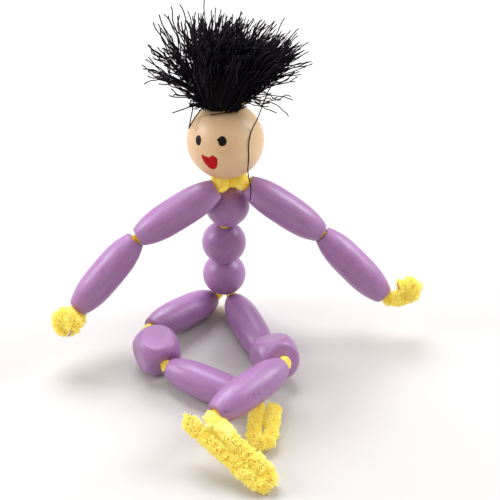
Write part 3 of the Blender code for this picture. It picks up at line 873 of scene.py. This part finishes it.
# Feet: each leg's stem is bent sharply at the ankle and folded back. The left one is a
# flat open loop; the right one is long, and its wire ends stick out at the heel.
foot_axes = {"left": direction(-97, -6), "right": direction(-35, -24)}
shin = bead_axes["left", "shin"]
end = bead_middles["left", "shin"] + shin * oval_half_length
beside = Vector((0, 0, 1)).cross(foot_axes["left"]).normalized()
route = folded_end(
    end, shin, foot_axes["left"], beside, radius=1.9 * mm, slack=0.5 * mm, out_length=10.0 * mm,
    back_length=10.0 * mm,
)
foot = chenille(
    "left_foot_pile", route, "left_foot", sides=28, step=hand_step, seed=80, lump=0.3, wild=0.35,
)
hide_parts("left_foot")
shin = bead_axes["right", "shin"]
end = bead_middles["right", "shin"] + shin * oval_half_length
beside = foot_axes["right"].cross(Vector((0, -1, 1))).normalized()
route = folded_end(
    end, shin, foot_axes["right"], beside, radius=1.7 * mm, slack=0.6 * mm, out_length=19.2 * mm,
    back_length=21.0 * mm, curl=math.radians(75),
)
foot = chenille(
    "right_foot_pile", fuller(route, 1.2), "right_foot", seed=81, lump=0.35, wild=0.45,
)
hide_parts("right_foot")
wire_tip = twisted_wires("right_foot_wires", route, 1.9 * mm, "right_foot")
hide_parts("right_foot_wire_tip")

# Crown loop: the fold of the body stem on top of the head, an eye that the hair is tied
# through. It lies to the right of the tuft and peeks out from under it.
crown_frame = aim(head_high, head_axis)
loop_radius, loop_length, loop_eye, loop_rise = 0.8 * mm, 7.5 * mm, 1.9 * mm, 2.2 * mm
loop_foot = loop_radius + strand_gap / 2
eye_place = loop_length - loop_eye
half_plan = [(eye_place * i / 3, loop_foot + (loop_eye - loop_foot) * i / 3) for i in range(3)]
for i in range(6):
    turn = math.pi / 2 * (1 - i / 5)
    half_plan.append((eye_place + loop_eye * math.cos(turn), loop_eye * math.sin(turn)))
route = []
for out, across in [(out, -across) for out, across in half_plan] + half_plan[-2::-1]:
    height = mouth_gap + loop_radius + loop_rise * (out / loop_length) ** 2
    route.append((crown_frame @ Vector((out, across, height)), loop_radius * 1.25))
loop = chenille(
    "crown_loop_pile", route, "neck", sides=16, step=0.13 * mm, seed=90, lump=0.25, wild=0.4,
)
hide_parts("crown_loop")

# Hair: a tuft of black sewing thread, tied through the crown loop and cut to uneven
# lengths. It is dense above and to the right, and thin and curly on the left.
black = Finish("black_thread", roughness=0.6, specular_ior_level=0.12)
shade = black.own("strand", "Fac")
deep_black, soft_black = (0.001, 0.0006, 0.0015, 1), (0.012, 0.008, 0.018, 1)
black.wear(base_color=black.ramp(shade, (0.0, deep_black), (1.0, soft_black)))
view_tilt = math.radians(35.85)
hair_out = direction(39, 79)
hair_right = Vector((1, 0, 0))
hair_up = Vector((0, math.sin(view_tilt), math.cos(view_tilt)))
hair_back = hair_up.cross(hair_right)
dice = random.Random(7)
bm = bmesh.new()
strand = bm.verts.layers.float.new("strand")
thread_radius = 0.17 * mm
coarse_thread_radius = 0.19 * mm
fine_thread_radius = 0.16 * mm
clump_count, clumped_threads = 60, 860
curly_threads, short_threads, stray_threads, front_threads = 105, 110, 24, 90


def lay_thread(spots, radius):
    before = len(bm.verts)
    sweep(bm, spots, [radius] * len(spots), 3)
    bm.verts.ensure_lookup_table()
    tone = dice.random() ** 2
    for vert in bm.verts[before:]:
        vert[strand] = tone


def from_crown(across, back, up):
    """A place on the crown, given in mm."""
    return crown_frame @ (Vector((across, back, up)) * mm)


def hair_thread(root, first_way, last_way, length, kink, droop, key, radius=thread_radius, steps=22):
    """One thread: it leaves the knot one way, settles into another, and is kinked all along."""
    spots, spot = [root], root.copy()
    for i in range(1, steps + 1):
        share = i / steps
        way = first_way.lerp(last_way, min(1, share * 3)).normalized()
        fine, broad = Vector((key, share * 9, 4.5)), Vector((key, share * 3.1, 0.5))
        stir = noise.noise_vector(broad) + noise.noise_vector(fine) * 0.7
        way += stir * kink * (0.35 + share)
        way.z -= droop * share * share
        spot = spot + way.normalized() * length / steps
        spots.append(spot)
    lay_thread(spots, radius)


def hair_way(lean, tilt):
    """A direction by its lean to the right and its tilt to the back, in degrees."""
    lean, tilt = math.radians(lean), math.radians(tilt)
    level = hair_up * math.cos(lean) + hair_right * math.sin(lean)
    return level * math.cos(tilt) + hair_back * math.sin(tilt)


clumps = [
    (dice.uniform(-1, 1), dice.uniform(-1, 1), dice.uniform(0.84, 1.06), dice.uniform(0, 99))
    for _ in range(clump_count)
]
for i in range(clumped_threads):
    across, depth, grow, key = clumps[i % clump_count]
    across = max(-1, min(1, across + dice.gauss(0, 0.14)))
    depth = max(-1, min(1, depth + dice.gauss(0, 0.16)))
    spread = max(1, math.hypot(across, depth))
    x, y = across / spread, depth / spread
    lift = 0.9 - 0.8 * (x * x + y * y) + 1.9 * max(0, x) ** 2
    root = from_crown(x * 4.3 + 0.5, y * 2.4, lift)
    first = (hair_out + hair_right * (x * 0.75 - 0.1) + hair_back * y * 0.5).normalized()
    last = hair_way(23 + 26 * across + dice.gauss(0, 7), 32 * depth - 25 + dice.gauss(0, 7))
    length = (20.9 * grow + dice.gauss(0, 2.0)) * mm
    hair_thread(root, first, last, length, 0.38, 0.25 * max(0, across), key + dice.uniform(0, 0.6))
for _ in range(curly_threads):
    lean = dice.uniform(-80, -4)
    root = from_crown(dice.uniform(-3.8, -0.5), dice.uniform(-1.8, 1.8), dice.uniform(0.2, 1.4))
    first = (hair_out - hair_right * dice.uniform(0.1, 0.9)).normalized()
    length = dice.uniform(0.6, 1.0) * (30 - 9 * abs(lean + 34) / 40) * mm
    kink = dice.uniform(0.45, 0.95)
    last = hair_way(lean, dice.gauss(-14, 18))
    hair_thread(root, first, last, length, kink, 0.05, dice.uniform(0, 99), coarse_thread_radius)
for _ in range(short_threads):
    side = dice.choice((-1, -1, 1))
    back = dice.uniform(-2.2, 1.9)
    root = from_crown(side * dice.uniform(2.4, 4.6), back, dice.uniform(0.4, 3.4))
    way = hair_right * side + hair_up * dice.uniform(-0.1, 0.9) + hair_back * dice.uniform(-0.5, 0.5)
    way.normalize()
    length = dice.uniform(2.0, 5.5) * mm
    hair_thread(root, way, way, length, 0.9, 0.2, dice.uniform(0, 99), fine_thread_radius, 10)
for _ in range(stray_threads):
    root = from_crown(dice.uniform(2.5, 5.2), dice.uniform(-2.4, 0.5), dice.uniform(1.5, 4.5))
    first = hair_way(dice.uniform(50, 95), dice.uniform(-35, 10))
    last = hair_way(dice.uniform(40, 110), dice.gauss(0, 20))
    kink = dice.uniform(0.7, 1.2)
    length = dice.uniform(8, 20) * mm
    hair_thread(root, first, last, length, kink, 0.15, dice.uniform(0, 99), fine_thread_radius)
for _ in range(front_threads):
    root = from_crown(dice.uniform(1.2, 4.6), dice.uniform(-3.1, -2.0), dice.uniform(-0.5, 1.2))
    lean, tilt = dice.uniform(22, 60), dice.uniform(-45, -15)
    first, last = hair_way(lean * 0.8, tilt), hair_way(lean, tilt)
    hair_thread(root, first, last, dice.uniform(12, 23) * mm, 0.4, 0.2, dice.uniform(0, 99))

# Threads that fell loose over the face and to the left, by places in mm on the seated doll.
loose_threads = (
    [(4.4, 22, 79.4), (7.6, 21.6, 79.4), (8.7, 21.8, 77.4), (7.4, 21, 75.1), (5.7, 21.8, 69.6),
     (4.6, 21.6, 66.6), (3.3, 21.5, 63.7), (2.6, 19.1, 61.6), (2.5, 18.2, 57.0), (2.3, 17.5, 53.4),
     (3.1, 16.2, 48.9), (2.8, 16.2, 45.4)],
    [(-8.0, 25.0, 73.6), (-11.2, 25.0, 71.8), (-12.3, 25.0, 67.1), (-13.1, 22.0, 63.8)],
    [(-7.0, 24.0, 71.8), (-9.1, 23.0, 70.0), (-11.6, 25.4, 65.3), (-13.2, 24.4, 62.8)],
    [(-6.5, 24.0, 70.9), (-8.8, 23.0, 70.9), (-11.3, 22.0, 70.8), (-17.3, 22.0, 68.5)],
    [(2.0, 29.1, 66.6), (0.2, 25.4, 67.7), (-2.6, 23.4, 67.9), (-5.2, 22.9, 67.8), (-7.6, 23.4, 67.2)],
)
for spots in loose_threads:
    even = along([(Vector(spot) * mm, 0) for spot in spots], 0.8 * mm)
    lay_thread([spot for spot, _ in even], coarse_thread_radius)
tuft = link_mesh(bm, "hair_threads", black.material, "neck")
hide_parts("hair_tuft")

# Floor, lamps and the pale world around: a plain studio with soft light from above and
# behind, and a weaker lamp on each side.
lamp_white, room_white = (0.92, 0.95, 1.0), (1.0, 0.94, 0.90, 1)
room_light = 0.53
lamp_target = Vector((0, 0.01, 0.04))
bm = bmesh.new()
bmesh.ops.create_grid(bm, x_segments=1, y_segments=1, size=3)
floor_finish = Finish("pale_floor", base_color=(0.59, 0.568, 0.547, 1), roughness=0.9)
floor = link_mesh(bm, "floor", floor_finish.material, None)
for name, place, size, power in (
    ("sky_lamp", (-0.12, 0.40, 0.70), 0.6, 7.4),
    ("left_lamp", (-0.55, 0.02, 0.35), 0.3, 2.0),
    ("right_lamp", (0.5, 0.15, 0.4), 0.3, 2.3),
):
    lamp = bpy.data.lights.new(name, "AREA")
    lamp.shape, lamp.size, lamp.energy = "DISK", size, power
    lamp.color = lamp_white
    holder = bpy.data.objects.new(name, lamp)
    holder.location = place
    holder.rotation_mode = "QUATERNION"
    holder.rotation_quaternion = (lamp_target - Vector(place)).to_track_quat("-Z", "Y")
    bpy.context.scene.collection.objects.link(holder)
world = bpy.data.worlds.new("pale_room")
world.use_nodes = True
background = world.node_tree.nodes["Background"]
background.inputs["Color"].default_value = room_white
background.inputs["Strength"].default_value = room_light
bpy.context.scene.world = world
bpy.context.scene.view_settings.view_transform = "Standard"
